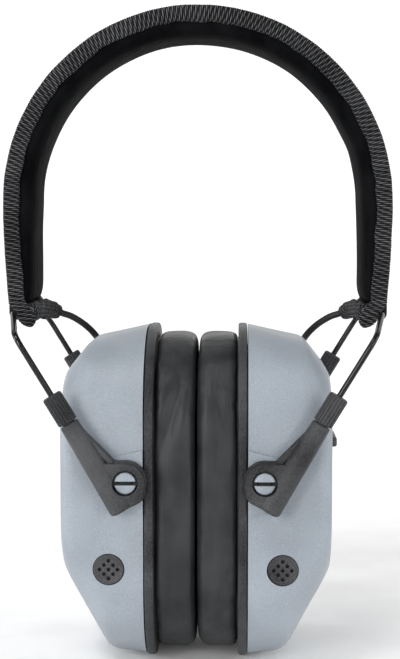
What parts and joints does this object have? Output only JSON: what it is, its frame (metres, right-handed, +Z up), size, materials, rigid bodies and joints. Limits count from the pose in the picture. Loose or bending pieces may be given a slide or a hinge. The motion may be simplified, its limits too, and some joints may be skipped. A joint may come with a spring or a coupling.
{
  "type": "folding electronic earmuff",
  "caption": "Electronic earmuff: two padded cups with microphones, on slotted pins in sliding arms and wire yokes, under a padded spring headband.",
  "frame": {"origin": "under the middle of the pair of cups, at the height of their lowest edge", "axes": "+X towards the wearer's cup with the volume dial, -Y towards the side with the microphones (front), +Z up to the crown of the headband"},
  "size_m": [0.1248, 0.0864, 0.2123],
  "materials": {
    "shell_plastic": "fine-grained moulded shell, light blue-grey",
    "dark_plastic": "fine-grained charcoal moulding",
    "cushion_vinyl": "smooth dark grey cushion skin",
    "pad_vinyl": "smooth black pad skin",
    "ribbed_fabric": "ribbed knitted cover, charcoal",
    "black_steel": "gloss black coated spring steel",
    "cable_rubber": "matte black cable jacket",
    "foam": "open-cell acoustic foam",
    "steel": "bright plated steel",
    "circuit_green": "solder-masked board",
    "cell_wrap": "plain cell wrap"
  },
  "bodies": {
    "headband": {"headband_spring": "black_steel", "headband_cover": "ribbed_fabric", "headband_pad": "pad_vinyl", "band_cable": "cable_rubber", "left_end_flap": "ribbed_fabric", "right_end_flap": "ribbed_fabric", "left_cable": "cable_rubber", "right_cable": "cable_rubber"},
    "left_yoke": {"left_yoke": "black_steel"},
    "right_yoke": {"right_yoke": "black_steel"},
    "left_arms": {"left_front_arm": "dark_plastic", "left_rear_arm": "dark_plastic", "left_front_collar": "dark_plastic", "left_rear_collar": "dark_plastic"},
    "right_arms": {"right_front_arm": "dark_plastic", "right_rear_arm": "dark_plastic", "right_front_collar": "dark_plastic", "right_rear_collar": "dark_plastic"},
    "left_cup": {"left_front_pin": "shell_plastic", "left_rear_pin": "shell_plastic", "left_base_plate": "dark_plastic", "left_cushion": "cushion_vinyl", "left_cushion_ring": "dark_plastic", "left_liner_foam": "foam", "left_speaker_baffle": "dark_plastic", "left_speaker": "steel", "left_mic_grille": "dark_plastic", "left_mic_capsule": "steel", "left_cable_gland": "cable_rubber", "left_upper_screw": "steel", "left_lower_screw": "steel", "left_shell": "shell_plastic", "battery_tray": "dark_plastic", "battery_cell_front": "cell_wrap", "battery_cell_rear": "cell_wrap", "battery_contact_lower": "steel", "battery_contact_upper": "steel"},
    "right_cup": {"right_front_pin": "shell_plastic", "right_rear_pin": "shell_plastic", "right_base_plate": "dark_plastic", "right_cushion": "cushion_vinyl", "right_cushion_ring": "dark_plastic", "right_liner_foam": "foam", "right_speaker_baffle": "dark_plastic", "right_speaker": "steel", "right_mic_grille": "dark_plastic", "right_mic_capsule": "steel", "right_cable_gland": "cable_rubber", "right_upper_screw": "steel", "right_lower_screw": "steel", "right_shell": "shell_plastic", "circuit_board": "circuit_green", "volume_control": "dark_plastic", "audio_jack": "dark_plastic"},
    "battery_door": {"battery_door": "shell_plastic"},
    "volume_knob": {"volume_knob": "dark_plastic"}
  },
  "joints": [
    {"name": "left_swing", "type": "hinge", "parent": "headband", "child": "left_yoke", "pos_m": [-0.059, 0, 0.114], "axis": [0, 1, 0], "range_deg": [0, 35], "stiffness_Nm_per_rad": 0.5, "springref_deg": -11.46, "deforming": ["left_cable"]},
    {"name": "left_height", "type": "slide", "parent": "left_yoke", "child": "left_arms", "axis": [-0.521, 0, 0.8536], "range_m": [0, 0.01], "deforming": ["left_cable"]},
    {"name": "left_cup_tilt", "type": "hinge", "parent": "left_arms", "child": "left_cup", "pos_m": [-0.0216, 0, 0.0632], "axis": [0, 1, 0], "range_deg": [-35, 0], "deforming": ["left_cable"]},
    {"name": "right_swing", "type": "hinge", "parent": "headband", "child": "right_yoke", "pos_m": [0.059, 0, 0.114], "axis": [0, -1, 0], "range_deg": [0, 35], "stiffness_Nm_per_rad": 0.5, "springref_deg": -11.46, "deforming": ["right_cable"]},
    {"name": "right_height", "type": "slide", "parent": "right_yoke", "child": "right_arms", "axis": [0.521, 0, 0.8536], "range_m": [0, 0.01], "deforming": ["right_cable"]},
    {"name": "right_cup_tilt", "type": "hinge", "parent": "right_arms", "child": "right_cup", "pos_m": [0.0216, 0, 0.0632], "axis": [0, -1, 0], "range_deg": [-35, 0], "deforming": ["right_cable"]},
    {"name": "volume_turn", "type": "hinge", "parent": "right_cup", "child": "volume_knob", "pos_m": [0.0402, 0, 0.071], "axis": [1, 0, 0], "range_deg": [0, 270]},
    {"name": "battery_door_open", "type": "hinge", "parent": "left_cup", "child": "battery_door", "pos_m": [-0.043, 0, 0.0343], "axis": [0, -1, 0], "range_deg": [0, 90]}
  ],
  "couplings": [
    {"joint": "left_cup_tilt", "follows": "left_swing", "ratio": -1},
    {"joint": "right_cup_tilt", "follows": "right_swing", "ratio": -1}
  ]
}
